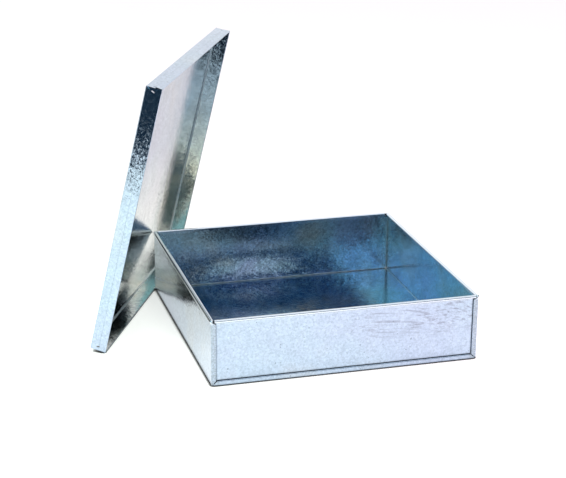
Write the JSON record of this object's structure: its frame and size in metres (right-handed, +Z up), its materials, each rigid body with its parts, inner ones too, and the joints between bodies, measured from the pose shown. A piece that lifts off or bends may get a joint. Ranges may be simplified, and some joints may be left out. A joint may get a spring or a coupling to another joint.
{
  "type": "electrical junction box",
  "caption": "open square junction box of folded galvanised sheet steel with lock seams and rolled rims, and a loose slip-over lid leaning on it",
  "frame": {"origin": "centre of the underside of the box, in the plane it stands on", "axes": "+X to the right, +Y from the front panel to the back panel, +Z up out of the open box"},
  "size_m": [0.4092, 0.402, 0.3065],
  "materials": {
    "galvanised_sheet": "bright galvanised, fine spangle"
  },
  "bodies": {
    "box": {"box_wrapper": "galvanised_sheet", "front_panel": "galvanised_sheet", "back_panel": "galvanised_sheet"},
    "lid": {"lid": "galvanised_sheet"}
  },
  "joints": [
    {"name": "lid_lift", "type": "slide", "parent": "box", "child": "lid", "axis": [-0.4455, 0.227, 0.866], "range_m": [0, 0.15]}
  ]
}
